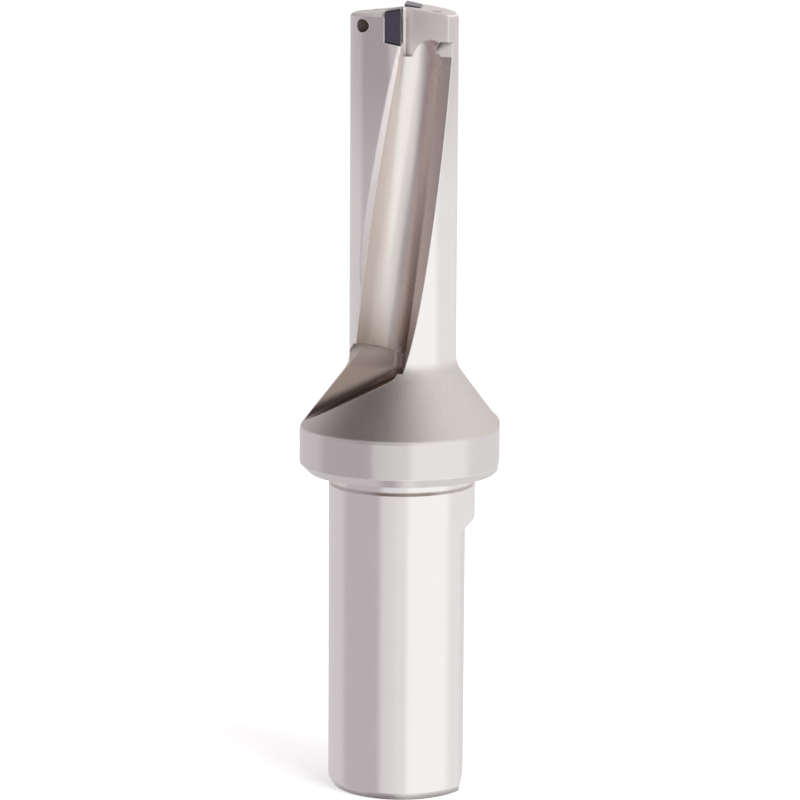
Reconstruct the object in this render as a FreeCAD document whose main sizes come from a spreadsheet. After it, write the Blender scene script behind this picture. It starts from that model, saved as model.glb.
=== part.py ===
import FreeCAD, Part
import math
import os
import Sketcher
from FreeCAD import Placement, Rotation, Vector

# Indexable drill. The origin is the centre of the shank's end face, +Z runs to the tip,
# and the clamping flat of the shank faces +X. All lengths are in millimetres.

SIZES = [
    # Shank and relief neck
    ("shank_diameter", 25.0),
    ("shank_length", 55.0),
    ("shank_end_inset", 0.8),
    ("shank_end_bevel", 1.3),
    ("neck_diameter", 24.2),
    ("neck_width", 1.8),
    ("neck_corner_width", 0.2),
    ("shank_flat_offset", 10.5),
    ("shank_flat_length", 45.7),
    ("shank_flat_runout", 1.4),
    # Flange and cone
    ("flange_diameter", 35.0),
    ("flange_base_bevel", 1.5),
    ("flange_height", 7.65),
    ("flange_edge_bevel", 0.35),
    ("flange_flat_depth", 1.14),
    ("cone_half_angle", 37.9),
    ("cone_blend_radius", 4.8),
    # Fluted body and its end
    ("cutting_diameter", 18.5),
    ("body_clearance", 0.2),
    ("tip_height", 133.7),
    ("end_relief_angle", 7.3),
    ("end_overlap", 1.5),
    ("front_end_slope", 2.0),
    ("rear_end_slope", 3.4),
    ("rim_bevel_depth", 1.5),
    # Chip flutes
    ("flute_lead_length", 311.0),
    ("flute_radius", 4.4),
    ("flute_offset", 7.2),
    ("flute_turn_at_tip", 31.3),
    ("flute_top_depth", 5.7),
    ("flute_end_rise", 0.6),
    ("flute_ball_depth", 3.0),
    ("flute_ball_allowance", 0.06),
    ("left_bevel_length", 47.0),
    ("left_bevel_angle_top", 34.0),
    ("left_bevel_angle_end", 44.0),
    ("left_bevel_fade", 0.0),
    ("left_bevel_rise", 1.3),
    ("left_bevel_reach", 2.0),
    ("left_bevel_depth", 8.6),
    ("right_bevel_angle_top", 37.0),
    ("right_bevel_angle_end", 45.0),
    ("right_bevel_fade", 8.0),
    ("right_bevel_rise", 0.0),
    ("right_bevel_reach", 3.55),
    ("right_bevel_depth", 4.85),
    ("right_bevel_foot", 0.5),
    # Run-out of a flute through the cone
    ("exit_slope", 27.0),
    ("exit_drop_height", 1.55),
    ("exit_side_offset", 1.0),
    ("exit_corner_radius", 2.6),
    ("exit_wall_offset", 1.9),
    ("exit_wall_turn", 7.0),
    ("exit_floor_radius", 2.2),
    ("exit_side_height", 3.0),
    ("exit_roof_height", 4.95),
    ("exit_roof_offset", 7.5),
    # Gullet in front of each insert
    ("gullet_angle", 66.5),
    ("gullet_depth", 8.2),
    ("gullet_web_width", 1.6),
    ("gullet_corner_radius", 0.3),
    # Inserts and their seats
    ("insert_edge", 6.1),
    ("insert_thickness", 2.65),
    ("insert_relief", 11.0),
    ("insert_corner_chamfer", 0.25),
    ("insert_hole", 2.8),
    ("insert_base_chamfer", 0.15),
    ("breaker_land", 0.35),
    ("breaker_depth", 0.18),
    ("breaker_island", 4.6),
    ("outer_insert_depth", 3.0),
    ("outer_insert_tilt", 2.0),
    ("centre_overlap", 0.3),
    ("inner_insert_depth", 2.5),
    ("inner_insert_tilt", 4.0),
    ("seat_clearance", 0.05),
    # Insert screws and their tapped holes
    ("screw_thread", 2.15),
    ("screw_clearance", 0.03),
    ("screw_length", 5.3),
    ("screw_head", 3.5),
    ("screw_head_angle", 60.0),
    ("screw_sink", 0.1),
    ("screw_end_chamfer", 0.3),
    ("socket_diameter", 1.7),
    ("socket_lobe", 0.5),
    ("socket_depth", 1.0),
    # Coolant channels
    ("coolant_bore", 8.0),
    ("coolant_bore_depth", 58.0),
    ("coolant_point_slope", 0.6),
    ("coolant_bore_chamfer", 0.8),
    ("coolant_core", 2.6),
    ("coolant_core_depth", 15.7),
    ("coolant_branch", 1.8),
    ("coolant_outlet_reach", 5.7),
    ("coolant_outlet_turn", 10.0),
]

FLUTES = 2
FLUTE_STATIONS = 7
FADE_POWER = 8
BEVEL_RUN_ON = 2.2
SOCKET_LOBES = 6

doc = FreeCAD.newDocument("IndexableDrill")
sheet = doc.addObject("Spreadsheet::Sheet", "Sizes")
for row, (alias, number) in enumerate(SIZES, start=1):
    sheet.set(f"A{row}", alias)
    sheet.set(f"B{row}", str(number))
    sheet.setAlias(f"B{row}", alias)
doc.recompute()

ALIASES = sorted((alias for alias, number in SIZES), key=len, reverse=True)


def size(alias):
    """Return a driving dimension as a number."""
    return float(sheet.get(alias))


def formula(text):
    """Return an expression text with every size name pointed at the sheet."""
    words = []
    word = ""
    for letter in text + " ":
        if letter.isalnum() or letter == "_":
            word += letter
            continue
        words.append(f"Sizes.{word}" if word in ALIASES else word)
        words.append(letter)
        word = ""
    return "".join(words).strip()


def bind(thing, prop, text):
    """Bind a property of an object to an expression in the sizes."""
    thing.setExpression(prop, formula(text))


def new_body(name):
    """Start a body whose label names its piece."""
    body = doc.addObject("PartDesign::Body", name)
    body.Label = name
    return body


def base_plane(body, role):
    """Return one of a body's own origin planes by its role."""
    for feature in body.Origin.OriginFeatures:
        if feature.Role == role:
            return feature
    raise ValueError(role)


def base_axis(body):
    """Return the body's own Z axis."""
    return base_plane(body, "Z_Axis")


def new_sketch(body, name, role="XY_Plane"):
    """Attach an empty sketch to one of a body's origin planes."""
    sketch = body.newObject("Sketcher::SketchObject", name)
    sketch.AttachmentSupport = (base_plane(body, role), [""])
    sketch.MapMode = "FlatFace"
    return sketch


def fix_point(sketch, geometry, vertex, across, up):
    """Hold one point of a sketch at a pair of expressions."""
    for kind, text in (("DistanceX", across), ("DistanceY", up)):
        number = sketch.addConstraint(Sketcher.Constraint(kind, -1, 1, geometry, vertex, 1.0))
        bind(sketch, f"Constraints[{number}]", text)


def add_outline(sketch, corners):
    """Draw a closed outline of straight lines through corners given as expression pairs."""
    count = len(corners)
    ring = [
        Vector(math.cos(2 * math.pi * step / count), math.sin(2 * math.pi * step / count), 0)
        for step in range(count)
    ]
    first = sketch.GeometryCount
    for step in range(count):
        sketch.addGeometry(Part.LineSegment(ring[step], ring[(step + 1) % count]), False)
    for step in range(count):
        following = first + (step + 1) % count
        sketch.addConstraint(Sketcher.Constraint("Coincident", first + step, 2, following, 1))
    for step, (across, up) in enumerate(corners):
        fix_point(sketch, first + step, 1, across, up)


def add_circle(sketch, across, up, radius):
    """Draw a circle whose centre and radius are expressions."""
    circle = sketch.addGeometry(Part.Circle(Vector(0, 0, 0), Vector(0, 0, 1), 1.0), False)
    number = sketch.addConstraint(Sketcher.Constraint("Radius", circle, 1.0))
    bind(sketch, f"Constraints[{number}]", radius)
    fix_point(sketch, circle, 3, across, up)


def pad(body, name, sketch, length, reverse=False, taper=None):
    """Add the sketch's outline, pushed out by a length."""
    feature = body.newObject("PartDesign::Pad", name)
    feature.Profile = sketch
    bind(feature, "Length", length)
    feature.Reversed = reverse
    if taper:
        bind(feature, "TaperAngle", taper)
    return feature


def pocket(body, name, sketch, length, reverse=False, midplane=False, taper=None):
    """Cut the sketch's outline away to a depth."""
    feature = body.newObject("PartDesign::Pocket", name)
    feature.Profile = sketch
    bind(feature, "Length", length)
    feature.Reversed = reverse
    feature.Midplane = midplane
    if taper:
        bind(feature, "TaperAngle", taper)
    return feature


def revolve(body, name, sketch):
    """Turn the sketch's outline round the body's own Z axis."""
    feature = body.newObject("PartDesign::Revolution", name)
    feature.Profile = sketch
    feature.ReferenceAxis = (base_axis(body), [""])
    feature.Angle = 360
    return feature


def turn_pattern(body, name, features, count):
    """Repeat features evenly round the body's own Z axis."""
    pattern = body.newObject("PartDesign::PolarPattern", name)
    pattern.Originals = features
    pattern.Axis = (base_axis(body), [""])
    pattern.Angle = 360
    pattern.Occurrences = count
    body.Tip = pattern
    return pattern


def turn_to_flute(body, number):
    """Turn a form about the tool's axis to one of the evenly spaced flutes."""
    body.Placement = Placement(Vector(0, 0, 0), Rotation(Vector(0, 0, 1), number * 360 / FLUTES))


def edges_where(feature, test):
    """Name the edges of a feature that pass a test on their shape."""
    edges = feature.Shape.Edges
    return [f"Edge{number}" for number, edge in enumerate(edges, start=1) if test(edge)]


def round_edges(body, name, feature, test, radius):
    """Round the edges that pass a test."""
    doc.recompute()
    fillet = body.newObject("PartDesign::Fillet", name)
    fillet.Base = (feature, edges_where(feature, test))
    bind(fillet, "Radius", radius)
    return fillet


def bevel_edges(body, name, feature, test, width):
    """Bevel the edges that pass a test."""
    doc.recompute()
    chamfer = body.newObject("PartDesign::Chamfer", name)
    chamfer.Base = (feature, edges_where(feature, test))
    bind(chamfer, "Size", width)
    return chamfer


def ring_at(radius, height):
    """Return a test for a round edge about the Z axis at a radius and height."""

    def test(edge):
        box = edge.BoundBox
        level = abs(box.ZMax - height) < NEAR and abs(box.ZMin - height) < NEAR
        wide = abs(box.XMax - radius) < NEAR and abs(box.XMin + radius) < NEAR
        return level and wide

    return test


def cone_height():
    """Return the height at which the cone would meet the fluted body without its blend."""
    drop = (size("flange_diameter") - body_diameter()) / 2
    rise = drop / math.tan(math.radians(size("cone_half_angle")))
    return size("shank_length") + size("flange_height") + rise


def body_diameter():
    """Return the diameter of the fluted body, which clears the cut hole."""
    return size("cutting_diameter") - 2 * size("body_clearance")


NEAR = 0.001
FLUTE_TOP = "(tip_height - flute_top_depth)"
CORE_TOP = "(tip_height - coolant_core_depth)"
FLANGE_FLAT = "(flange_diameter / 2 - flange_flat_depth)"
FLANGE_TOP = "shank_length + flange_height"
BODY_RADIUS = "cutting_diameter / 2 - body_clearance"
CONE_TOP = (
    "shank_length + flange_height"
    " + (flange_diameter / 2 - cutting_diameter / 2 + body_clearance) / tan(cone_half_angle)"
)


def turned_blank():
    """Turn the shank, neck, flange, cone and body, then mill the two flats and the end."""
    body = new_body("turned_blank")
    profile = new_sketch(body, "blank_profile", "XZ_Plane")
    neck_step = "(shank_diameter / 2 - neck_diameter / 2)"
    add_outline(profile, [
        ("0", "0"),
        ("shank_diameter / 2 - shank_end_inset", "0"),
        ("shank_diameter / 2", "shank_end_bevel"),
        ("shank_diameter / 2", "shank_flat_length"),
        ("shank_diameter / 2", f"shank_length - neck_width - {neck_step}"),
        ("neck_diameter / 2", "shank_length - neck_width"),
        ("neck_diameter / 2", "shank_length - neck_corner_width"),
        ("neck_diameter / 2 + neck_corner_width", "shank_length"),
        ("flange_diameter / 2 - flange_base_bevel", "shank_length"),
        ("flange_diameter / 2", "shank_length + flange_base_bevel"),
        ("flange_diameter / 2", f"{FLANGE_TOP} - flange_edge_bevel"),
        (
            "flange_diameter / 2 - flange_edge_bevel * sin(cone_half_angle)",
            f"{FLANGE_TOP} + flange_edge_bevel * cos(cone_half_angle)",
        ),
        (BODY_RADIUS, CONE_TOP),
        (BODY_RADIUS, "tip_height - rim_bevel_depth"),
        (f"{BODY_RADIUS} - 2 * rim_bevel_depth", "tip_height + rim_bevel_depth"),
        ("0", "tip_height + rim_bevel_depth"),
    ])
    turned = revolve(body, "turned_shape", profile)
    body_radius = body_diameter() / 2
    round_edges(
        body, "cone_blend", turned, ring_at(body_radius, cone_height()), "cone_blend_radius"
    )
    mill_flats(body)
    mill_end(body)
    for feature in body.Group:
        if hasattr(feature, "Refine"):
            feature.Refine = False
    return body


def mill_flats(body):
    """Cut the clamping flat of the shank and the flat of the flange, both square to +X."""
    shank_flat = new_sketch(body, "shank_flat_outline", "XZ_Plane")
    add_outline(shank_flat, [
        ("shank_flat_offset", "-shank_end_bevel"),
        ("shank_diameter", "-shank_end_bevel"),
        ("shank_diameter", "shank_flat_length + shank_flat_runout"
         " * (shank_diameter - shank_flat_offset) / (shank_diameter / 2 - shank_flat_offset)"),
        ("shank_flat_offset", "shank_flat_length"),
    ])
    pocket(body, "shank_flat", shank_flat, "2 * shank_diameter", midplane=True)
    flange_flat = new_sketch(body, "flange_flat_outline", "XZ_Plane")
    add_outline(flange_flat, [
        (FLANGE_FLAT, "shank_length - neck_width / 2"),
        ("flange_diameter", "shank_length - neck_width / 2"),
        ("flange_diameter", "tip_height"),
        (FLANGE_FLAT, "tip_height"),
    ])
    pocket(body, "flange_flat", flange_flat, "2 * flange_diameter", midplane=True)


def mill_end(body):
    """Slope the end face of each land, so that it falls away behind its insert's edge."""
    reach = "cutting_diameter"
    for name, slope, side in (("front_end", "front_end_slope", -1), ("rear_end", "rear_end_slope", 1)):
        outline = new_sketch(body, f"{name}_outline", "YZ_Plane")
        relief = Rotation(Vector(1, 0, 0), size("end_relief_angle"))
        outline.AttachmentOffset = Placement(Vector(0, 1, 1), relief)
        bind(outline, "AttachmentOffset.Rotation.Angle", f"{side} * end_relief_angle")
        bind(outline, "AttachmentOffset.Base.y", "tip_height + end_overlap * tan(end_relief_angle)")
        bind(outline, "AttachmentOffset.Base.z", f"{-side} * end_overlap")
        add_outline(outline, [
            (f"-{reach}", f"-{reach} * tan({slope})"),
            (reach, f"{reach} * tan({slope})"),
            (reach, reach),
            (f"-{reach}", reach),
        ])
        pocket(body, name, outline, f"2 * {reach}", reverse=side > 0)


FLOOR_HEIGHT = f"({CONE_TOP} - exit_drop_height)"
FLUTE_END = f"({FLOOR_HEIGHT} + exit_side_offset * tan(exit_slope))"
GROOVE_TOP = f"({FLUTE_TOP} - flute_ball_depth)"
GROOVE_END = f"({FLUTE_END} + flute_end_rise)"


def flute_turn(height):
    """Return the expression for a flute's turn about the axis at a height."""
    return f"flute_turn_at_tip - ({FLUTE_TOP} - {height}) * 360 / flute_lead_length"


def flute_station(body, name, share, top, end):
    """Start a sketch square to the axis and turned with the helix, a share of the way down."""
    sketch = new_sketch(body, name)
    height = f"({top} - ({top} - {end}) * {share})"
    bind(sketch, "AttachmentOffset.Base.z", height)
    bind(sketch, "AttachmentOffset.Rotation.Angle", flute_turn(height))
    return sketch


def blend_sections(body, name, sketches):
    """Add a smooth solid through a row of sketches."""
    loft = body.newObject("PartDesign::AdditiveLoft", name)
    loft.Profile = sketches[0]
    loft.Sections = sketches[1:]
    loft.Ruled = False
    return loft


def groove_form(number):
    """Shape what the round groove of a flute takes away along its helix."""
    body = new_body(f"groove_form_{number}")
    section = new_sketch(body, f"groove_section_{number}")
    bind(section, "AttachmentOffset.Base.z", GROOVE_TOP)
    bind(section, "AttachmentOffset.Rotation.Angle", flute_turn(GROOVE_TOP))
    add_circle(section, "0", "-flute_offset", "flute_radius")
    run = body.newObject("PartDesign::AdditiveHelix", f"groove_run_{number}")
    run.Profile = section
    run.ReferenceAxis = (base_axis(body), [""])
    run.Mode = 0
    run.Reversed = True
    bind(run, "Pitch", "flute_lead_length")
    bind(run, "Height", f"{GROOVE_TOP} - {GROOVE_END}")
    turn_to_flute(body, number)
    return body


def groove_end_form(number):
    """Shape the ball that the groove ends in under the tip, a shade wider than the groove."""
    body = new_body(f"groove_end_form_{number}")
    turn = f"({flute_turn(GROOVE_TOP)})"
    ball = body.newObject("PartDesign::AdditiveSphere", f"groove_ball_{number}")
    ball.AttachmentSupport = (base_plane(body, "XY_Plane"), [""])
    ball.MapMode = "FlatFace"
    bind(ball, "Radius", "flute_radius + flute_ball_allowance")
    bind(ball, "AttachmentOffset.Base.x", f"flute_offset * sin({turn})")
    bind(ball, "AttachmentOffset.Base.y", f"-flute_offset * cos({turn})")
    bind(ball, "AttachmentOffset.Base.z", GROOVE_TOP)
    turn_to_flute(body, number)
    return body


def bevel_form(side, sign, end, number):
    """Shape what one bevel of a flute takes away, between the groove and the land."""
    body = new_body(f"{side}_bevel_form_{number}")
    stations = []
    for step in range(FLUTE_STATIONS):
        share = step / (FLUTE_STATIONS - 1)
        name = f"{side}_bevel_section_{number}_{step}"
        sketch = flute_station(body, name, share, FLUTE_TOP, end)
        fade = share ** FADE_POWER
        top, low = f"{side}_bevel_angle_top", f"{side}_bevel_angle_end"
        angle = f"({top} + ({low} - {top}) * {share} - {side}_bevel_fade * {fade})"
        rise = f"{side}_bevel_rise * {fade}"
        inner_x = f"{sign} * {side}_bevel_reach"
        inner_y = f"-({side}_bevel_depth + {rise})"
        edge_x = f"{sign} * ({BODY_RADIUS} + {rise}) * sin({angle})"
        edge_y = f"-({BODY_RADIUS} + {rise}) * cos({angle})"
        outer_x = f"{inner_x} + {BEVEL_RUN_ON} * ({edge_x} - {inner_x})"
        outer_y = f"{inner_y} + {BEVEL_RUN_ON} * ({edge_y} - {inner_y})"
        add_outline(sketch, [(inner_x, inner_y), (outer_x, outer_y), ("0", "-cutting_diameter")])
        stations.append(sketch)
    blend_sections(body, f"{side}_bevel_run_{number}", stations)
    turn_to_flute(body, number)
    return body


def exit_form(number):
    """Shape what the run-out takes away where a flute leaves sideways through the cone."""
    body = new_body(f"exit_form_{number}")
    outline = new_sketch(body, f"exit_outline_{number}", "XZ_Plane")
    turn = Rotation(Vector(0, -1, 0), size("exit_wall_turn"))
    outline.AttachmentOffset = Placement(Vector(0, 0, 1), turn)
    bind(outline, "AttachmentOffset.Base.z", "exit_wall_offset")
    bind(outline, "AttachmentOffset.Rotation.Angle", "exit_wall_turn")
    roof = f"({FLUTE_END} + exit_roof_height)"
    rim = "(cutting_diameter / 2)"
    rim_roof = f"({roof} - ({rim} - exit_roof_offset) / tan(cone_half_angle))"
    outside = "(flange_diameter / 2 + exit_wall_offset)"
    add_outline(outline, [
        ("exit_side_offset", FLUTE_END),
        ("exit_side_offset", f"{FLUTE_END} + exit_side_height"),
        ("-exit_roof_offset", roof),
        (f"-{rim}", rim_roof),
        (f"-{outside}", rim_roof),
        (f"-{outside}", f"{FLOOR_HEIGHT} - {outside} * tan(exit_slope)"),
    ])
    block = pad(body, f"exit_block_{number}", outline, "flange_diameter")
    side = size("exit_side_offset")
    depth = size("flange_diameter")

    def at_corner(edge):
        box = edge.BoundBox
        return box.YLength > depth / 2 and box.XMax > -side and box.ZMax < cone_height()

    def at_floor(edge):
        box = edge.BoundBox
        near_wall = box.YMin > -depth / 4
        return near_wall and box.XLength > NEAR and box.ZMax < cone_height() + side

    corner = round_edges(body, f"exit_corner_{number}", block, at_corner, "exit_corner_radius")
    round_edges(body, f"exit_floor_{number}", corner, at_floor, "exit_floor_radius")
    turn_to_flute(body, number)
    return body


def gullet_form(number, web):
    """Shape the open corner in front of an insert, with its radial wall in the rake plane."""
    body = new_body(f"gullet_form_{number}")
    outline = new_sketch(body, f"gullet_outline_{number}")
    bind(outline, "AttachmentOffset.Base.z", "tip_height - gullet_depth")
    reach = "cutting_diameter"
    add_outline(outline, [
        ("0", f"-({web})"),
        ("0", f"-{reach}"),
        (reach, f"-{reach}"),
        (f"{reach} * sin(gullet_angle)", f"-({web}) - {reach} * cos(gullet_angle)"),
    ])
    block = pad(body, f"gullet_block_{number}", outline, "cutting_diameter")

    def at_root(edge):
        box = edge.BoundBox
        return box.ZLength > 1 and math.hypot(box.XMax, box.YMax) < 2 * size("gullet_web_width")

    round_edges(body, f"gullet_root_{number}", block, at_root, "gullet_corner_radius")
    turn_to_flute(body, number)
    return body


OUTER_SEAT = {
    "name": "peripheral",
    "across": "-(cutting_diameter / 2 - insert_edge / 2)",
    "height": "tip_height - outer_insert_depth",
    "facing": 1,
    "tilt": "outer_insert_tilt",
    "tilt_sign": 1,
}
INNER_SEAT = {
    "name": "central",
    "across": "insert_edge / 2 - centre_overlap",
    "height": "tip_height - inner_insert_depth",
    "facing": -1,
    "tilt": "inner_insert_tilt",
    "tilt_sign": -1,
}


def place_at_seat(thing, seat):
    """Put a piece at an insert's seat: its own Z is the rake face's normal, its own Y is up."""
    facing = seat["facing"]
    frame = Rotation(Vector(0, facing, 0), Vector(0, 0, 1), Vector(facing, 0, 0), "ZXY")
    tilt = Rotation(Vector(0, 0, 1), seat["tilt_sign"] * size(seat["tilt"]))
    thing.Placement = Placement(Vector(0, 0, 0), frame * tilt)
    bind(thing, "Placement.Base.y", seat["across"])
    bind(thing, "Placement.Base.z", seat["height"])


def add_square(sketch, half):
    """Draw a square about the sketch's centre with a given half edge."""
    add_outline(sketch, [
        (half, f"-({half})"),
        (half, half),
        (f"-({half})", half),
        (f"-({half})", f"-({half})"),
    ])


def indexable_insert(seat):
    """Press the square insert: relief on every side, chip groove, countersunk screw hole."""
    body = new_body(f"{seat['name']}_insert")
    face = new_sketch(body, f"{body.Name}_rake_outline")
    add_square(face, "insert_edge / 2")
    block = pad(body, f"{body.Name}_block", face, "insert_thickness", True, "-insert_relief")
    thickness = size("insert_thickness")

    def at_side(edge):
        return edge.BoundBox.ZLength > thickness / 2

    def at_base(edge):
        return edge.BoundBox.ZMax < NEAR - thickness

    corners = bevel_edges(body, f"{body.Name}_corners", block, at_side, "insert_corner_chamfer")
    bevel_edges(body, f"{body.Name}_base", corners, at_base, "insert_base_chamfer")
    groove = new_sketch(body, f"{body.Name}_breaker_outline")
    add_square(groove, "insert_edge / 2 - breaker_land")
    add_circle(groove, "0", "0", "breaker_island / 2")
    pocket(body, f"{body.Name}_breaker", groove, "breaker_depth", taper="-insert_relief")
    cut_screw_hole(body)
    place_at_seat(body, seat)
    return body


def cut_screw_hole(body):
    """Cut the insert's hole, whose cone takes the screw's head with a small clearance."""
    hole = new_sketch(body, f"{body.Name}_hole_profile", "XZ_Plane")
    top = "(screw_head / 2 + screw_clearance)"
    add_outline(hole, [
        ("0", "insert_thickness"),
        (top, "insert_thickness"),
        (top, "-screw_sink"),
        ("insert_hole / 2", f"-screw_sink - ({top} - insert_hole / 2) / tan(screw_head_angle / 2)"),
        ("insert_hole / 2", "-2 * insert_thickness"),
        ("0", "-2 * insert_thickness"),
    ])
    groove = body.newObject("PartDesign::Groove", f"{body.Name}_hole")
    groove.Profile = hole
    groove.ReferenceAxis = (base_axis(body), [""])
    groove.Angle = 360


def insert_screw(seat):
    """Turn the countersunk screw of an insert and cut its six-lobed socket."""
    body = new_body(f"{seat['name']}_insert_screw")
    profile = new_sketch(body, f"{body.Name}_profile", "XZ_Plane")
    thread = "(screw_thread / 2 - screw_clearance)"
    end = "-(screw_sink + screw_length)"
    add_outline(profile, [
        ("0", "-screw_sink"),
        ("screw_head / 2", "-screw_sink"),
        (thread, f"-screw_sink - (screw_head / 2 - {thread}) / tan(screw_head_angle / 2)"),
        (thread, f"{end} + screw_end_chamfer"),
        (f"{thread} - screw_end_chamfer", end),
        ("0", end),
    ])
    revolve(body, f"{body.Name}_turned", profile)
    core = new_sketch(body, f"{body.Name}_socket_outline")
    bind(core, "AttachmentOffset.Base.z", "-screw_sink")
    add_circle(core, "0", "0", "socket_diameter / 2")
    pocket(body, f"{body.Name}_socket", core, "socket_depth")
    lobe = new_sketch(body, f"{body.Name}_lobe_outline")
    bind(lobe, "AttachmentOffset.Base.z", "-screw_sink")
    add_circle(lobe, "socket_diameter / 2", "0", "socket_lobe / 2")
    cut = pocket(body, f"{body.Name}_lobe", lobe, "socket_depth")
    turn_pattern(body, f"{body.Name}_lobes", [cut], SOCKET_LOBES)
    place_at_seat(body, seat)
    return body


def seat_form(seat):
    """Shape an insert's seat and the tapped hole behind it, out through the land."""
    body = new_body(f"{seat['name']}_seat_form")
    outline = new_sketch(body, f"{body.Name}_outline")
    wall = "(insert_edge / 2 + seat_clearance)"
    open_side = "-insert_edge" if seat is OUTER_SEAT else f"-{wall}"
    add_outline(outline, [
        (wall, f"-{wall}"),
        (wall, "insert_edge"),
        (open_side, "insert_edge"),
        (open_side, f"-{wall}"),
    ])
    pad(body, f"{body.Name}_block", outline, "insert_thickness", True, "-insert_relief")
    hole = new_sketch(body, f"{body.Name}_hole_outline")
    add_circle(hole, "0", "0", "screw_thread / 2")
    pad(body, f"{body.Name}_hole", hole, "cutting_diameter", True)
    place_at_seat(body, seat)
    return body


def coolant_form():
    """Shape the coolant way: shank bore, core channel, and one outlet on each end face."""
    body = new_body("coolant_form")
    profile = new_sketch(body, "coolant_profile", "XZ_Plane")
    add_outline(profile, [
        ("0", "-coolant_bore_chamfer"),
        ("coolant_bore / 2 + 2 * coolant_bore_chamfer", "-coolant_bore_chamfer"),
        ("coolant_bore / 2", "coolant_bore_chamfer"),
        ("coolant_bore / 2", "coolant_bore_depth"),
        ("coolant_core / 2", "coolant_bore_depth + (coolant_bore / 2 - coolant_core / 2) * coolant_point_slope"),
        ("coolant_core / 2", CORE_TOP),
        ("0", f"{CORE_TOP} + coolant_core / 2"),
    ])
    revolve(body, "coolant_turned", profile)
    turn = math.radians(size("coolant_outlet_turn"))
    tilt_axis = Vector(math.sin(turn), math.cos(turn), 0)
    branch = body.newObject("PartDesign::AdditiveCylinder", "coolant_branch")
    branch.AttachmentSupport = (base_plane(body, "XY_Plane"), [""])
    branch.MapMode = "FlatFace"
    branch.AttachmentOffset = Placement(Vector(0, 0, 1), Rotation(tilt_axis, 20))
    bind(branch, "AttachmentOffset.Base.z", CORE_TOP)
    rise = "coolant_core_depth"
    bind(branch, "AttachmentOffset.Rotation.Angle", f"atan(coolant_outlet_reach / ({rise}))")
    bind(branch, "Radius", "coolant_branch / 2")
    bind(branch, "Height", f"1.5 * ({rise})")
    turn_pattern(body, "coolant_outlets", [branch], FLUTES)
    return body


def cut_away(base, form, label):
    """Cut a form out of a solid and check that it took something away."""
    cut = doc.addObject("Part::Cut", label)
    cut.Base = base
    cut.Tool = form
    cut.Label = label
    cut.Refine = False
    doc.recompute()
    if cut.Shape.Volume > base.Shape.Volume - 1:
        raise ValueError(f"{label} cut nothing away")
    return cut


def drill_body():
    """Mill the flutes, run-outs, gullets, seats and coolant way into the turned blank."""
    solid = turned_blank()
    doc.recompute()
    for number in range(FLUTES):
        solid = cut_away(solid, groove_form(number), f"grooved_{number}")
        solid = cut_away(solid, groove_end_form(number), f"groove_ended_{number}")
    for number in range(FLUTES):
        form = bevel_form("right", 1, f"({CONE_TOP} - right_bevel_foot)", number)
        solid = cut_away(solid, form, f"right_bevelled_{number}")
    for number in range(FLUTES):
        form = bevel_form("left", -1, f"({FLUTE_TOP} - left_bevel_length)", number)
        solid = cut_away(solid, form, f"left_bevelled_{number}")
    for number in range(FLUTES):
        solid = cut_away(solid, exit_form(number), f"run_out_{number}")
    for number, web in enumerate(("gullet_web_width", "-(centre_overlap + seat_clearance)")):
        solid = cut_away(solid, gullet_form(number, web), f"opened_{number}")
    for seat in (OUTER_SEAT, INNER_SEAT):
        solid = cut_away(solid, seat_form(seat), f"{seat['name']}_seated")
    return cut_away(solid, coolant_form(), "drill_body")


def check(pieces):
    """Stop if any object failed or a piece isn't one sound solid."""
    for thing in doc.Objects:
        if "Invalid" in thing.State or "Error" in thing.State:
            raise ValueError(f"{thing.Name}: {thing.State}")
    for piece in pieces:
        shape = piece.Shape
        if shape.isNull() or not shape.isValid() or len(shape.Solids) != 1:
            raise ValueError(f"{piece.Label} isn't one sound solid")


pieces = [drill_body()]
for seat in (OUTER_SEAT, INNER_SEAT):
    pieces.append(indexable_insert(seat))
    pieces.append(insert_screw(seat))
doc.recompute()
check(pieces)

os.makedirs("parts", exist_ok=True)
for piece in pieces:
    piece.Shape.exportStep(f"parts/{piece.Label}.step")
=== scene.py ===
"""Looks of the indexable drill: finishes of its steel, inserts and screws, studio and camera."""

import math
from types import SimpleNamespace

import bpy
from mathutils import Matrix, Vector

bl_info = {
    "name": "Indexable Drill Looks",
    "version": (1, 0, 0),
    "blender": (4, 5, 0),
    "location": "3D View > Sidebar > Drill",
    "description": "Finishes an indexable drill and sets up its studio",
    "category": "Object",
}

MM = 0.001

# Heights along the drill where one finish gives way to the next, in metres
NECK_HEIGHT = 52.8 * MM
FLANGE_BASE = 55.0 * MM
FLANGE_TOP = 62.65 * MM
CONE_TOP = 73.46 * MM
FLUTE_TOP = 128.0 * MM
FLUTE_END = 125.0 * MM
LAND_RADIUS = 9.05 * MM
FLANGE_RADIUS = 17.5 * MM
CONE_SLOPE = math.tan(math.radians(37.9))
FLUTE_LEAD = 311.0 * MM
FLUTE_OFFSET = 7.2 * MM
FLUTE_RADIUS = 4.4 * MM
FLUTE_TURN = math.radians(31.3)
GULLET_FLOOR = 125.5 * MM

# The screws' tapped holes run along X: how far back each is, and how high
TAPPED_HOLES = ((-6.2 * MM, 130.7 * MM), (2.75 * MM, 131.2 * MM))
TAPPED_RADIUS = 1.075 * MM

# How far the surroundings go from the darker side's light (0) to the bright side's (1), by the
# angle in degrees round the drill from the camera's side, positive to the right
LIGHT_BANDS = (
    (-180, 0.42), (-108, 0.38), (-97, 0.14), (-37, 0.14), (-31, 0.50), (-12, 0.58), (-8, 0.66),
    (7, 0.67), (11, 1.0), (74, 1.0), (84, 0.74), (140, 0.72), (180, 0.50),
)

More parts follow.
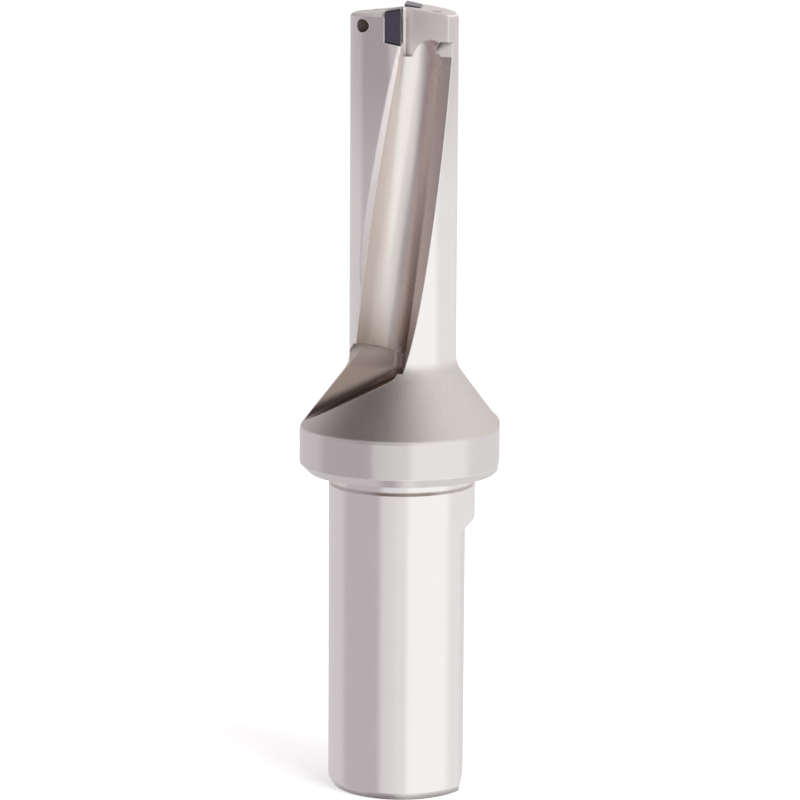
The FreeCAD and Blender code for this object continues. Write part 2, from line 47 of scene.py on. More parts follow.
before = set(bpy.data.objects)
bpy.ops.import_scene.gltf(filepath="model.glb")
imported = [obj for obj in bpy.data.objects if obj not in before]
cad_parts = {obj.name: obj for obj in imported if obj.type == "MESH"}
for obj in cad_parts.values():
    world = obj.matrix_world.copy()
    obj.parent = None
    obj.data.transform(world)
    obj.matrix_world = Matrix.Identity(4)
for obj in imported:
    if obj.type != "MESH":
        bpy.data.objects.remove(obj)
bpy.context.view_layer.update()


def colour_property(name, description, default):
    """Return a colour setting."""
    return bpy.props.FloatVectorProperty(
        name=name, description=description, subtype="COLOR", size=3,
        min=0.0, max=1.0, default=default,
    )


def share_property(name, description, default):
    """Return a setting between nought and one."""
    return bpy.props.FloatProperty(
        name=name, description=description, subtype="FACTOR", min=0.0, max=1.0, default=default,
    )


def length_property(name, description, default):
    """Return a length setting in metres."""
    return bpy.props.FloatProperty(
        name=name, description=description, subtype="DISTANCE", unit="LENGTH",
        precision=5, default=default,
    )


class DrillSteelSettings(bpy.types.PropertyGroup):
    """Finish of the turned, milled and blasted steel body."""

    ground: colour_property(
        "Ground steel", "Colour of the shank, flange and lands", (0.93, 0.91, 0.905))
    blasted: colour_property("Blasted steel", "Colour of the matt cone", (0.82, 0.785, 0.765))
    milled: colour_property("Milled steel", "Colour of the chip flutes", (0.92, 0.895, 0.87))
    gullet: colour_property("Gullet", "Colour of the walls below the inserts", (0.93, 0.885, 0.885))
    # Painted light: the left bevel faces the bright side, so its colour is a brighter copy of the milled
    # steel.
    lit_left_bevel: colour_property("Left bevel", "Colour of a flute's left bevel", (1.0, 0.965, 0.97))
    # Painted shade: this tint darkens and browns the foot of the flutes where they run out.
    foot_shade: colour_property("Tarnish", "Tint where a flute runs out", (0.72, 0.665, 0.625))
    ground_roughness: share_property("Ground roughness", "Blur of ground faces", 0.17)
    blasted_roughness: share_property("Blasted roughness", "Blur of the matt cone", 0.46)
    milled_roughness: share_property("Milled roughness", "Blur of the flutes", 0.26)
    # Painted shade: the right bevel faces away from the light, so this tint darkens it.
    right_bevel_shade: colour_property("Bevel tint", "Tint of a flute's right bevel", (0.60, 0.55, 0.56))
    # The convex edges within this width are lightened as painted highlight, with some real wear.
    edge_width: length_property("Edge width", "Width of the worn edges", 0.28 * MM)


class DrillInsertSettings(bpy.types.PropertyGroup):
    """Finish of the coated carbide inserts."""

    coating: colour_property("Coating", "Colour of the hard coating", (0.075, 0.066, 0.098))
    bare: colour_property("Bare edge", "Colour of the honed cutting edges", (0.22, 0.21, 0.23))
    roughness: share_property("Roughness", "Blur of the coating", 0.26)
    edge_width: length_property("Edge width", "Width of the honed edges", 0.06 * MM)


class DrillScrewSettings(bpy.types.PropertyGroup):
    """Finish of the insert screws."""

    # Painted shade: the screws' steel is made dark to stand for the shade in the holes they sit in.
    steel: colour_property("Screw steel", "Colour of the hardened screws", (0.30, 0.30, 0.32))
    # Painted shade: a near-black mixed into the screws in noise patches.
    hole_shade: colour_property("Recess", "Colour deep in the socket", (0.08, 0.08, 0.085))
    roughness: share_property("Roughness", "Blur of the screw steel", 0.35)
    edge_width: length_property("Edge width", "Width of the bright edges", 0.05 * MM)


class DrillStudioSettings(bpy.types.PropertyGroup):
    """Floor, light and camera."""

    floor: colour_property("Floor", "Colour of the floor", (0.86, 0.86, 0.86))
    shade: colour_property("Shade", "Light from the darker side", (0.43, 0.385, 0.415))
    overhead: colour_property("Overhead", "Light from above left", (0.075, 0.066, 0.066))
    overhead_right: colour_property("Overhead right", "Light from above right", (0.96, 0.93, 0.90))
    bright: colour_property("Bright side", "Light from the bright side", (1.0, 0.99, 0.975))
    lens: bpy.props.FloatProperty(
        name="Lens", description="Focal length on a 36 mm wide frame, in millimetres",
        min=20.0, max=400.0, default=138.7,
    )
    distance: length_property("Distance", "From the drill's axis to the camera", 517.7 * MM)
    height: length_property("Height", "Of the camera above the floor", 155.2 * MM)
    turn: bpy.props.FloatProperty(
        name="Turn", description="Camera's place round the axis", subtype="ANGLE",
        default=math.radians(4.4),
    )
    dip: bpy.props.FloatProperty(
        name="Dip", description="How far the camera looks down", subtype="ANGLE",
        default=math.radians(9.66),
    )
    roll: bpy.props.FloatProperty(
        name="Roll", description="Turn of the picture about its middle", subtype="ANGLE",
        default=math.radians(0.343),
    )


def link(tree, source, target):
    """Join an output socket, or set a plain value, on an input socket."""
    if isinstance(source, bpy.types.NodeSocket):
        tree.links.new(source, target)
    else:
        target.default_value = source


def math_node(tree, operation, first, second=0.0):
    """Add a math node and return its output."""
    node = tree.nodes.new("ShaderNodeMath")
    node.operation = operation
    link(tree, first, node.inputs[0])
    link(tree, second, node.inputs[1])
    return node.outputs[0]


def ramp_between(tree, value, start, end):
    """Return a smooth step from 0 at start to 1 at end."""
    node = tree.nodes.new("ShaderNodeMapRange")
    node.interpolation_type = "SMOOTHSTEP"
    link(tree, value, node.inputs["Value"])
    node.inputs["From Min"].default_value = start
    node.inputs["From Max"].default_value = end
    return node.outputs["Result"]


def colour_ramp(tree, value, stops):
    """Return a number that runs through stops of position and level."""
    node = tree.nodes.new("ShaderNodeValToRGB")
    elements = node.color_ramp.elements
    while len(elements) < len(stops):
        elements.new(0.5)
    for element, (position, level) in zip(elements, stops):
        element.position = position
        element.color = (level, level, level, 1.0)
    link(tree, value, node.inputs[0])
    return node.outputs[0]


def mix_values(tree, factor, first, second):
    """Return a blend of two numbers."""
    node = tree.nodes.new("ShaderNodeMix")
    node.data_type = "FLOAT"
    link(tree, factor, node.inputs["Factor"])
    link(tree, first, node.inputs["A"])
    link(tree, second, node.inputs["B"])
    return node.outputs["Result"]


def mix_colours(tree, factor, first, second, blend="MIX"):
    """Return a blend of two colours."""
    node = tree.nodes.new("ShaderNodeMix")
    node.data_type = "RGBA"
    node.blend_type = blend
    link(tree, factor, node.inputs[0])
    link(tree, solid(first), node.inputs[6])
    link(tree, solid(second), node.inputs[7])
    return node.outputs[2]


def solid(colour):
    """Give a plain colour its alpha, and leave a socket as it is."""
    if isinstance(colour, bpy.types.NodeSocket):
        return colour
    return (*colour[:3], 1.0)


def noise(tree, vector, scale, detail=2.0, roughness=0.5):
    """Add a noise texture and return its value."""
    node = tree.nodes.new("ShaderNodeTexNoise")
    link(tree, vector, node.inputs["Vector"])
    node.inputs["Scale"].default_value = scale
    node.inputs["Detail"].default_value = detail
    node.inputs["Roughness"].default_value = roughness
    return node.outputs["Fac"]


def combine(tree, across, along, up):
    """Return a vector from three numbers."""
    node = tree.nodes.new("ShaderNodeCombineXYZ")
    for socket, value in zip(node.inputs, (across, along, up)):
        link(tree, value, socket)
    return node.outputs[0]


def new_group(name, inputs, outputs):
    """Start a shader node group with number inputs and outputs, or vector ones marked so."""
    group = bpy.data.node_groups.new(name, "ShaderNodeTree")
    for word, kind in inputs:
        group.interface.new_socket(word, in_out="INPUT", socket_type=kind)
    for word, kind in outputs:
        group.interface.new_socket(word, in_out="OUTPUT", socket_type=kind)
    start = group.nodes.new("NodeGroupInput")
    end = group.nodes.new("NodeGroupOutput")
    return group, start.outputs, end.inputs


def edge_wear_and_highlight_group():
    """Build the group that finds convex and concave edges within a width."""
    name = "Edge wear"
    if name in bpy.data.node_groups:
        return bpy.data.node_groups[name]
    group, given, result = new_group(
        name, [("Width", "NodeSocketFloat")], [("Mask", "NodeSocketFloat"), ("Normal", "NodeSocketVector")])
    bevel = group.nodes.new("ShaderNodeBevel")
    bevel.samples = 6
    group.links.new(given["Width"], bevel.inputs["Radius"])
    geometry = group.nodes.new("ShaderNodeNewGeometry")
    facing = group.nodes.new("ShaderNodeVectorMath")
    facing.operation = "DOT_PRODUCT"
    group.links.new(bevel.outputs[0], facing.inputs[0])
    group.links.new(geometry.outputs["Normal"], facing.inputs[1])
    mask = ramp_between(group, facing.outputs["Value"], 0.999, 0.93)
    group.links.new(mask, result["Mask"])
    group.links.new(bevel.outputs[0], result["Normal"])
    return group


def micro_grain_group():
    """Build the group for the fine grain and faint handling marks of a metal face."""
    name = "Micro grain"
    if name in bpy.data.node_groups:
        return bpy.data.node_groups[name]
    group, given, result = new_group(
        name, [("Vector", "NodeSocketVector")],
        [("Grain", "NodeSocketFloat"), ("Cloud", "NodeSocketFloat")])
    grain = noise(group, given["Vector"], 5200.0, 3.0, 0.6)
    cloud = noise(group, given["Vector"], 140.0, 4.0, 0.55)
    group.links.new(grain, result["Grain"])
    group.links.new(cloud, result["Cloud"])
    return group


def place_group(tree, group):
    """Put a node group in a material."""
    node = tree.nodes.new("ShaderNodeGroup")
    node.node_tree = group
    return node


def new_material(name):
    """Start a node material and return it with its tree and its shader."""
    material = bpy.data.materials.new(name)
    material.use_nodes = True
    return material, material.node_tree, material.node_tree.nodes["Principled BSDF"]


def add_bump(tree, height, depth, normal=None):
    """Return a normal bumped by a height of a given depth in metres."""
    node = tree.nodes.new("ShaderNodeBump")
    node.inputs["Strength"].default_value = 1.0
    node.inputs["Distance"].default_value = depth
    link(tree, height, node.inputs["Height"])
    if normal is not None:
        tree.links.new(normal, node.inputs["Normal"])
    return node.outputs[0]


def dress(node_name, material):
    """Give a CAD node its material."""
    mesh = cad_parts[node_name].data
    mesh.materials.clear()
    mesh.materials.append(material)


def product(tree, *masks):
    """Return several masks multiplied together."""
    result = masks[0]
    for mask in masks[1:]:
        result = math_node(tree, "MULTIPLY", result, mask)
    return result


def outside(tree, mask):
    """Return 1 where a mask is 0."""
    return math_node(tree, "SUBTRACT", 1.0, mask)


def occlusion(tree, distance):
    """Return how open a point is to its surroundings within a distance."""
    node = tree.nodes.new("ShaderNodeAmbientOcclusion")
    node.samples = 8
    node.inputs["Distance"].default_value = distance
    return node.outputs["AO"]


def flute_place(tree, radius, twist):
    """Return how far a point is to the side of the nearer groove's axis, and how far out from it."""
    start = FLUTE_TURN - math.pi / 2 - 2 * math.pi * FLUTE_TOP / FLUTE_LEAD
    from_groove = math_node(tree, "SUBTRACT", twist, start)
    across = math_node(tree, "MULTIPLY", radius, math_node(tree, "SINE", from_groove))
    outward = math_node(tree, "MULTIPLY", radius, math_node(tree, "COSINE", from_groove))
    side = math_node(tree, "MULTIPLY", across, math_node(tree, "SIGN", outward))
    return side, math_node(tree, "SUBTRACT", math_node(tree, "ABSOLUTE", outward), FLUTE_OFFSET)


def off_groove_mask(tree, spot):
    """Return 1 off the round groove and the ball that ends it."""
    rise = math_node(tree, "MAXIMUM", math_node(tree, "SUBTRACT", spot.z, FLUTE_END), 0.0)
    squares = math_node(tree, "MULTIPLY", spot.side, spot.side)
    for part in (spot.reach, rise):
        squares = math_node(tree, "ADD", squares, math_node(tree, "MULTIPLY", part, part))
    gap = math_node(tree, "SUBTRACT", math_node(tree, "SQRT", squares), FLUTE_RADIUS)
    return ramp_between(tree, gap, 0.09 * MM, 0.19 * MM)


def tapped_hole_mask(tree, y, z):
    """Return 1 on the walls of the tapped holes."""
    mask = 0.0
    for back, height in TAPPED_HOLES:
        across = math_node(tree, "SUBTRACT", y, back)
        up = math_node(tree, "SUBTRACT", z, height)
        squares = math_node(tree, "ADD", product(tree, across, across), product(tree, up, up))
        distance = math_node(tree, "SQRT", squares)
        wall = ramp_between(tree, distance, TAPPED_RADIUS + 0.06 * MM, TAPPED_RADIUS + 0.02 * MM)
        mask = math_node(tree, "MAXIMUM", mask, wall)
    return mask


def body_place(tree, place):
    """Return a point's coordinates, its distance from the axis, its twist and its place in a flute."""
    split = tree.nodes.new("ShaderNodeSeparateXYZ")
    tree.links.new(place, split.inputs[0])
    x, y, z = split.outputs
    squares = math_node(tree, "ADD", product(tree, x, x), product(tree, y, y))
    radius = math_node(tree, "SQRT", squares)
    helix = product(tree, math_node(tree, "MINIMUM", z, FLUTE_END), 2 * math.pi / FLUTE_LEAD)
    twist = math_node(tree, "SUBTRACT", math_node(tree, "ARCTAN2", y, x), helix)
    side, reach = flute_place(tree, radius, twist)
    return SimpleNamespace(x=x, y=y, z=z, radius=radius, twist=twist, side=side, reach=reach)


def flute_zones(tree, spot, above_flange):
    """Return masks of the grooves, bevels, gullets and run-outs."""
    fall = product(tree, math_node(tree, "SUBTRACT", spot.z, FLANGE_TOP), CONE_SLOPE)
    depth = math_node(tree, "SUBTRACT", math_node(tree, "SUBTRACT", FLANGE_RADIUS, fall), spot.radius)
    run_out = product(
        tree, ramp_between(tree, depth, 0.10 * MM, 0.30 * MM), above_flange,
        ramp_between(tree, spot.z, CONE_TOP + 6.0 * MM, CONE_TOP - 1.0 * MM))
    inside = ramp_between(tree, spot.radius, LAND_RADIUS - 0.02 * MM, LAND_RADIUS - 0.08 * MM)
    upper = product(tree, inside, ramp_between(tree, spot.z, CONE_TOP - 1.0 * MM, CONE_TOP + 0.4 * MM))
    flute = math_node(tree, "MAXIMUM", upper, run_out)
    off_groove = off_groove_mask(tree, spot)
    groove = product(tree, upper, outside(tree, off_groove))
    up_gullet = ramp_between(tree, spot.z, GULLET_FLOOR - 0.1 * MM, GULLET_FLOOR + 0.1 * MM)
    bevels = product(tree, off_groove, outside(tree, up_gullet))
    gullet = product(tree, flute, off_groove, up_gullet)
    lit_left_bevel = product(tree, upper, bevels, ramp_between(tree, spot.side, 0.0, -0.5 * MM))
    groove_left = product(tree, groove, ramp_between(tree, spot.side, -1.0 * MM, -2.8 * MM))
    satin = math_node(tree, "ADD", gullet, lit_left_bevel)
    foot = ramp_between(tree, spot.z, FLANGE_TOP + 24.0 * MM, FLANGE_TOP + 12.0 * MM)
    lower_half = ramp_between(tree, spot.z, 112.0 * MM, 82.0 * MM)
    return {
        "flute": flute,
        "run_out": run_out,
        "low": product(tree, foot, flute),
        "low_right": product(tree, groove, lower_half, ramp_between(tree, spot.side, -0.6 * MM, 1.6 * MM)),
        "gullet": gullet,
        "lit_left_bevel": lit_left_bevel,
        "right_bevel": product(tree, flute, bevels, ramp_between(tree, spot.side, 0.0, 0.5 * MM)),
        "groove_left": groove_left,
        "groove_right": product(tree, groove, ramp_between(tree, spot.side, 1.0 * MM, 2.8 * MM)),
        "satin": math_node(tree, "ADD", satin, product(tree, groove_left, 0.6)),
    }


def turned_zones(tree, spot, above_flange, flutes):
    """Return masks of the cone, flange, tip, neck, and the neck's stain."""
    below_body = ramp_between(tree, spot.z, CONE_TOP + 1.6 * MM, CONE_TOP - 0.6 * MM)
    above_neck = ramp_between(tree, spot.z, FLANGE_BASE - 0.2 * MM, FLANGE_BASE + 0.2 * MM)
    neck = product(
        tree, ramp_between(tree, spot.z, NECK_HEIGHT - 0.1 * MM, NECK_HEIGHT + 0.05 * MM),
        ramp_between(tree, spot.z, NECK_HEIGHT + 0.7 * MM, NECK_HEIGHT + 0.3 * MM))
    near_tip = ramp_between(tree, spot.z, 100.0 * MM, 128.0 * MM)
    return {
        "cone": product(tree, above_flange, below_body, outside(tree, flutes["run_out"])),
        "flange": product(tree, above_neck, outside(tree, above_flange)),
        "tip": product(tree, near_tip, outside(tree, flutes["flute"])),
        "neck": neck,
        "stain": product(
            tree, ramp_between(tree, spot.x, -5.0 * MM, -2.0 * MM),
            ramp_between(tree, spot.x, 8.0 * MM, 5.0 * MM),
            ramp_between(tree, spot.y, 2.0 * MM, -2.0 * MM), neck),
    }


def body_zones(tree, place):
    """Return masks of the body's finishes, and the noise of its turning and milling."""
    spot = body_place(tree, place)
    above_flange = ramp_between(tree, spot.z, FLANGE_TOP - 0.05 * MM, FLANGE_TOP + 0.25 * MM)
    zones = flute_zones(tree, spot, above_flange)
    zones.update(turned_zones(tree, spot, above_flange, zones))
    zones["tapped"] = tapped_hole_mask(tree, spot.y, spot.z)
    zones["rings"] = noise(tree, combine(tree, 0.0, 0.0, spot.z), 9000.0, 2.0, 0.6)
    streak_place = combine(
        tree, product(tree, spot.twist, 9.0), product(tree, spot.radius, 1500.0),
        product(tree, spot.z, 60.0))
    zones["streaks"] = noise(tree, streak_place, 1.6, 4.0, 0.6)
    return zones


def steel_colour(tree, look, zones, marks, crest, sky):
    """Return the body's colour from its finishes, painted shade on its shaded faces, creases and holes, and
    painted highlight with wear on its edges.
    """
    colour = mix_colours(tree, zones["flute"], look.ground, look.milled)
    colour = mix_colours(tree, zones["cone"], colour, look.blasted)
    colour = mix_colours(tree, zones["gullet"], colour, look.gullet)
    # Painted light: the left bevel takes its brighter copy of the milled steel.
    colour = mix_colours(tree, zones["lit_left_bevel"], colour, look.lit_left_bevel)
    speckle = mix_colours(tree, marks["Grain"], (0.72, 0.71, 0.70), (1.15, 1.15, 1.15))
    cloud = mix_colours(tree, marks["Cloud"], (0.955, 0.95, 0.95), (1.0, 1.0, 1.0))
    streak = mix_colours(tree, zones["streaks"], (0.93, 0.915, 0.90), (1.0, 1.0, 1.0))
    # Painted shade in these tints: the flange is a shaded copy of the ground steel, and the right bevel,
    # both sides of the round groove (the right side darkest), the foot of the flutes, the run-out and the
    # groove's lower right side are darkened where they face away from the light or lie in hollows. The
    # tip's tint makes the lands darker towards the tip; the speckle, cloud and streaks are the steel's own
    # grain.
    tints = (
        (zones["flange"], (0.85, 0.85, 0.85)), (zones["right_bevel"], look.right_bevel_shade),
        (zones["groove_left"], (0.94, 0.89, 0.86)), (zones["groove_right"], (0.56, 0.50, 0.53)),
        (zones["cone"], speckle), (zones["low"], look.foot_shade), (zones["run_out"], (0.68, 0.63, 0.595)),
        (1.0, cloud), (zones["flute"], streak), (zones["tip"], (0.78, 0.75, 0.765)),
        (zones["low_right"], (0.64, 0.585, 0.58)),
    )
    for mask, shade in tints:
        colour = mix_colours(tree, mask, colour, shade, "MULTIPLY")
    # Painted highlight: convex edges that stand open are lightened, with some real wear.
    wear_and_highlight = math_node(tree, "MULTIPLY", crest, 0.8)
    colour = mix_colours(tree, wear_and_highlight, colour, (1.0, 0.985, 0.975))
    shaded = mix_colours(tree, ramp_between(tree, sky, 0.15, 0.65), (0.62, 0.56, 0.54), (1.0, 1.0, 1.0))
    milled = product(tree, zones["flute"], outside(tree, zones["satin"]))
    colour = mix_colours(tree, milled, colour, shaded, "MULTIPLY")
    # Painted shade: tight corners and creases are darkened where the surroundings close in.
    crease_shade = ramp_between(tree, occlusion(tree, 2.4 * MM), 0.70, 0.25)
    colour = mix_colours(tree, math_node(tree, "MULTIPLY", crease_shade, 0.7), colour, (0.13, 0.10, 0.09))
    # Painted shade: the walls of the tapped holes are darkened.
    colour = mix_colours(tree, zones["tapped"], colour, (0.15, 0.115, 0.105))
    # Painted shadow: a dark brown line round the neck below the flange.
    colour = mix_colours(tree, math_node(tree, "MULTIPLY", zones["neck"], 0.35), colour, (0.30, 0.24, 0.20))
    return mix_colours(tree, math_node(tree, "MULTIPLY", zones["stain"], 0.6), colour, (0.26, 0.18, 0.12))


def steel_roughness(tree, look, zones, marks):
    """Return how blurred each finish is, with a little wander."""
    rough = mix_values(tree, zones["flute"], look.ground_roughness, look.milled_roughness)
    rough = mix_values(tree, zones["cone"], rough, look.blasted_roughness)
    rough = mix_values(tree, zones["satin"], rough, 0.65)
    wander = math_node(tree, "MULTIPLY", math_node(tree, "SUBTRACT", marks["Cloud"], 0.5), 0.10)
    return math_node(tree, "ADD", rough, wander)


def steel_relief(tree, zones, marks):
    """Return the height of turned rings, milling streaks and blasted grit."""
    turned = outside(tree, math_node(tree, "MAXIMUM", zones["flute"], zones["cone"]))
    height = product(tree, zones["rings"], turned, 0.35)
    height = math_node(tree, "ADD", height, product(tree, zones["streaks"], zones["flute"], 0.2))
    grit = product(tree, marks["Grain"], mix_values(tree, zones["cone"], 0.25, 3.0))
    return math_node(tree, "ADD", height, grit)


def steel_material(look):
    """Build the body's steel: ground shank and lands, blasted cone, milled flutes."""
    material, tree, shader = new_material("body_steel")
    place = tree.nodes.new("ShaderNodeTexCoord").outputs["Object"]
    marks = place_group(tree, micro_grain_group())
    tree.links.new(place, marks.inputs["Vector"])
    edges = place_group(tree, edge_wear_and_highlight_group())
    edges.inputs["Width"].default_value = look.edge_width
    zones = body_zones(tree, place)
    sky = occlusion(tree, 9.0 * MM)
    crest = product(tree, edges.outputs["Mask"], ramp_between(tree, sky, 0.45, 0.75))
    colour = steel_colour(tree, look, zones, marks.outputs, crest, sky)
    tree.links.new(colour, shader.inputs["Base Color"])
    tree.links.new(steel_roughness(tree, look, zones, marks.outputs), shader.inputs["Roughness"])
    relief = steel_relief(tree, zones, marks.outputs)
    bump = add_bump(tree, relief, 0.008 * MM, edges.outputs["Normal"])
    tree.links.new(bump, shader.inputs["Normal"])
    dull = math_node(tree, "MAXIMUM", product(tree, zones["satin"], 0.65), product(tree, crest, 0.6))
    tree.links.new(outside(tree, dull), shader.inputs["Metallic"])
    return material


def insert_material(look):
    """Build the inserts' dark coating with honed edges."""
    material, tree, shader = new_material("insert_coating")
    place = tree.nodes.new("ShaderNodeTexCoord").outputs["Object"]
    marks = place_group(tree, micro_grain_group())
    tree.links.new(place, marks.inputs["Vector"])
    edges = place_group(tree, edge_wear_and_highlight_group())
    edges.inputs["Width"].default_value = look.edge_width
    shade = mix_colours(tree, marks.outputs["Cloud"], (0.80, 0.80, 0.82), (1.0, 1.0, 1.0))
    colour = mix_colours(tree, 1.0, look.coating, shade, "MULTIPLY")
    colour = mix_colours(tree, math_node(tree, "MULTIPLY", edges.outputs["Mask"], 0.6), colour, look.bare)
    tree.links.new(colour, shader.inputs["Base Color"])
    wander = math_node(tree, "MULTIPLY", marks.outputs["Grain"], 0.16)
    tree.links.new(math_node(tree, "ADD", look.roughness - 0.08, wander), shader.inputs["Roughness"])
    bump = add_bump(tree, marks.outputs["Grain"], 0.004 * MM, edges.outputs["Normal"])
    tree.links.new(bump, shader.inputs["Normal"])
    shader.inputs["Metallic"].default_value = 0.55
    return material


def screw_material(look):
    """Build the screws' hardened steel, made dark as painted shade of the holes they sit in, with noise
    patches of deeper painted shade.
    """
    material, tree, shader = new_material("screw_steel")
    place = tree.nodes.new("ShaderNodeTexCoord").outputs["Object"]
    marks = place_group(tree, micro_grain_group())
    tree.links.new(place, marks.inputs["Vector"])
    edges = place_group(tree, edge_wear_and_highlight_group())
    edges.inputs["Width"].default_value = look.edge_width
    # Painted shade: noise patches mix in the near-black hole shade.
    hole_shade_patches = ramp_between(tree, marks.outputs["Cloud"], 0.35, 0.75)
    colour = mix_colours(tree, hole_shade_patches, look.steel, look.hole_shade)
    wear_and_highlight = math_node(tree, "MULTIPLY", edges.outputs["Mask"], 0.7)
    colour = mix_colours(tree, wear_and_highlight, colour, (0.6, 0.6, 0.6))
    tree.links.new(colour, shader.inputs["Base Color"])
    wander = math_node(tree, "MULTIPLY", marks.outputs["Grain"], 0.2)
    tree.links.new(math_node(tree, "ADD", look.roughness - 0.1, wander), shader.inputs["Roughness"])
    tree.links.new(add_bump(tree, marks.outputs["Grain"], 0.004 * MM), shader.inputs["Normal"])
    shader.inputs["Metallic"].default_value = 1.0
    return material


class DRILL_OT_dress_body(bpy.types.Operator):
    """Finish the steel body."""

    bl_idname = "drill.dress_body"
    bl_label = "Finish Body"

    def execute(self, context):
        dress("drill_body", steel_material(context.scene.drill_steel))
        return {"FINISHED"}


class DRILL_OT_dress_inserts(bpy.types.Operator):
    """Finish the two inserts."""

    bl_idname = "drill.dress_inserts"
    bl_label = "Finish Inserts"

    def execute(self, context):
        material = insert_material(context.scene.drill_insert)
        for name in ("peripheral_insert", "central_insert"):
            dress(name, material)
        return {"FINISHED"}


class DRILL_OT_dress_screws(bpy.types.Operator):
    """Finish the two insert screws."""

    bl_idname = "drill.dress_screws"
    bl_label = "Finish Screws"

    def execute(self, context):
        material = screw_material(context.scene.drill_screw)
        for name in ("peripheral_insert_screw", "central_insert_screw"):
            dress(name, material)
        return {"FINISHED"}


def floor_material(look):
    """Build a pale floor that the camera sees as white outside the shadow."""
    material, tree, shader = new_material("studio_floor")
    place = tree.nodes.new("ShaderNodeTexCoord").outputs["Object"]
    speckle = noise(tree, place, 900.0, 3.0)
    colour = mix_colours(tree, speckle, tuple(0.985 * part for part in look.floor), look.floor)
    tree.links.new(colour, shader.inputs["Base Color"])
    shader.inputs["Roughness"].default_value = 0.9
    shader.inputs["Specular IOR Level"].default_value = 0.0
    shader.inputs["Emission Color"].default_value = (1.0, 1.0, 1.0, 1.0)
    camera_ray = tree.nodes.new("ShaderNodeLightPath").outputs["Is Camera Ray"]
    glow = math_node(tree, "MULTIPLY", camera_ray, 0.58)
    tree.links.new(glow, shader.inputs["Emission Strength"])
    return material


def studio_world(look):
    """Build the soft surroundings: bright on the right, darker on the left and overhead."""
    world = bpy.data.worlds.new("studio")
    world.use_nodes = True
    tree = world.node_tree
    background = tree.nodes["Background"]
    output = background.outputs[0].links[0].to_node
    direction = tree.nodes.new("ShaderNodeTexCoord").outputs["Generated"]
    toward = (math.sin(look.turn), -math.cos(look.turn), 0.0)
    right = (math.cos(look.turn), math.sin(look.turn), 0.0)
    parts = []
    for axis in (right, toward):
        along = tree.nodes.new("ShaderNodeVectorMath")
        along.operation = "DOT_PRODUCT"
        tree.links.new(direction, along.inputs[0])
        along.inputs[1].default_value = axis
        parts.append(along.outputs["Value"])
    angle = math_node(tree, "ARCTAN2", *parts)
    share = math_node(tree, "ADD", math_node(tree, "DIVIDE", angle, 2 * math.pi), 0.5)
    stops = [((degrees + 180) / 360, level) for degrees, level in LIGHT_BANDS]
    colour = mix_colours(tree, colour_ramp(tree, share, stops), look.shade, look.bright)
    split = tree.nodes.new("ShaderNodeSeparateXYZ")
    tree.links.new(direction, split.inputs[0])
    over_right = ramp_between(tree, parts[0], -0.30, 0.60)
    above = mix_colours(tree, over_right, look.overhead, look.overhead_right)
    far_left = ramp_between(tree, parts[0], -0.65, -0.95)
    above = mix_colours(tree, far_left, above, tuple(1.8 * part for part in look.overhead))
    high = ramp_between(tree, split.outputs[2], 0.28, 0.75)
    colour = mix_colours(tree, high, colour, above)
    tree.links.new(colour, background.inputs["Color"])
    background.inputs["Strength"].default_value = 1.0
    white = tree.nodes.new("ShaderNodeBackground")
    white.inputs["Color"].default_value = (1.0, 1.0, 1.0, 1.0)
    choice = tree.nodes.new("ShaderNodeMixShader")
    tree.links.new(tree.nodes.new("ShaderNodeLightPath").outputs["Is Camera Ray"], choice.inputs[0])
    tree.links.new(background.outputs[0], choice.inputs[1])
    tree.links.new(white.outputs[0], choice.inputs[2])
    tree.links.new(choice.outputs[0], output.inputs[0])
    return world


def add_softbox(name, place, aim, width, height, watts):
    """Hang a large soft lamp that shines at a point."""
    lamp = bpy.data.lights.new(name, "AREA")
    lamp.shape = "RECTANGLE"
    lamp.size = width
    lamp.size_y = height
    lamp.energy = watts
    holder = bpy.data.objects.new(name, lamp)
    holder.location = place
    holder.rotation_euler = (Vector(aim) - Vector(place)).to_track_quat("-Z", "Y").to_euler()
    bpy.context.scene.collection.objects.link(holder)
    return holder


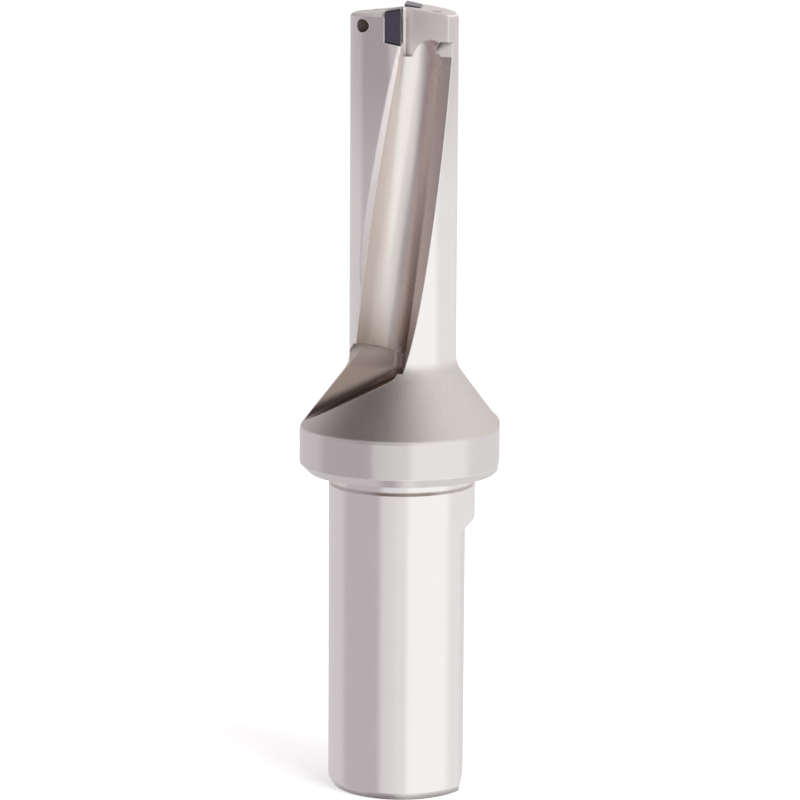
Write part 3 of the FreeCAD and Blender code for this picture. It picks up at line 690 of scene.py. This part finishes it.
class DRILL_OT_build_studio(bpy.types.Operator):
    """Lay the floor, set the light and place the camera."""

    bl_idname = "drill.build_studio"
    bl_label = "Build Studio"

    def execute(self, context):
        look = context.scene.drill_studio
        mesh = bpy.data.meshes.new("floor")
        reach = 6.0
        corners = [(-reach, -reach, 0.0), (reach, -reach, 0.0), (reach, reach, 0.0), (-reach, reach, 0.0)]
        mesh.from_pydata(corners, [], [(0, 1, 2, 3)])
        mesh.materials.append(floor_material(look))
        floor = bpy.data.objects.new("floor", mesh)
        context.scene.collection.objects.link(floor)
        context.scene.world = studio_world(look)
        key = add_softbox("key_softbox", (0.55, -0.5, 0.55), (0.0, 0.0, 0.07), 0.5, 0.5, 4.0)
        key.visible_glossy = False
        floor.visible_glossy = False
        context.scene.view_settings.view_transform = "Standard"

        camera = bpy.data.cameras.new("camera")
        camera.sensor_width = 36.0
        camera.lens = look.lens
        camera.shift_x = -2.4 / 800.0
        camera.clip_start = 0.05
        camera.clip_end = 50.0
        viewer = bpy.data.objects.new("camera", camera)
        context.scene.collection.objects.link(viewer)
        turn = Matrix.Rotation(look.turn, 4, "Z")
        tilt = Matrix.Rotation(math.radians(90.0) - look.dip, 4, "X")
        roll = Matrix.Rotation(look.roll, 4, "Z")
        place = Matrix.Translation((0.0, -look.distance, look.height))
        viewer.matrix_world = turn @ place @ tilt @ roll
        context.scene.camera = viewer
        return {"FINISHED"}


class DRILL_PT_looks(bpy.types.Panel):
    """Lists the steps that finish the drill."""

    bl_label = "Drill"
    bl_idname = "DRILL_PT_looks"
    bl_space_type = "VIEW_3D"
    bl_region_type = "UI"
    bl_category = "Drill"

    def draw(self, context):
        scene = context.scene
        for group, operator in STEPS:
            box = self.layout.box()
            for name in getattr(scene, group).bl_rna.properties.keys():
                if name not in ("rna_type", "name"):
                    box.prop(getattr(scene, group), name)
            box.operator(operator)


STEPS = (
    ("drill_steel", "drill.dress_body"),
    ("drill_insert", "drill.dress_inserts"),
    ("drill_screw", "drill.dress_screws"),
    ("drill_studio", "drill.build_studio"),
)
SETTINGS = {
    "drill_steel": DrillSteelSettings,
    "drill_insert": DrillInsertSettings,
    "drill_screw": DrillScrewSettings,
    "drill_studio": DrillStudioSettings,
}
CLASSES = (
    *SETTINGS.values(),
    DRILL_OT_dress_body,
    DRILL_OT_dress_inserts,
    DRILL_OT_dress_screws,
    DRILL_OT_build_studio,
    DRILL_PT_looks,
)


def register():
    """Register the classes and hang the settings on the scene."""
    for cls in CLASSES:
        bpy.utils.register_class(cls)
    for name, settings in SETTINGS.items():
        setattr(bpy.types.Scene, name, bpy.props.PointerProperty(type=settings))


def unregister():
    """Take the settings and classes off again."""
    for name in SETTINGS:
        delattr(bpy.types.Scene, name)
    for cls in reversed(CLASSES):
        bpy.utils.unregister_class(cls)


def main():
    """Finish the drill and build the studio."""
    register()
    bpy.ops.drill.dress_body()
    bpy.ops.drill.dress_inserts()
    bpy.ops.drill.dress_screws()
    bpy.ops.drill.build_studio()


if __name__ == "__main__":
    main()
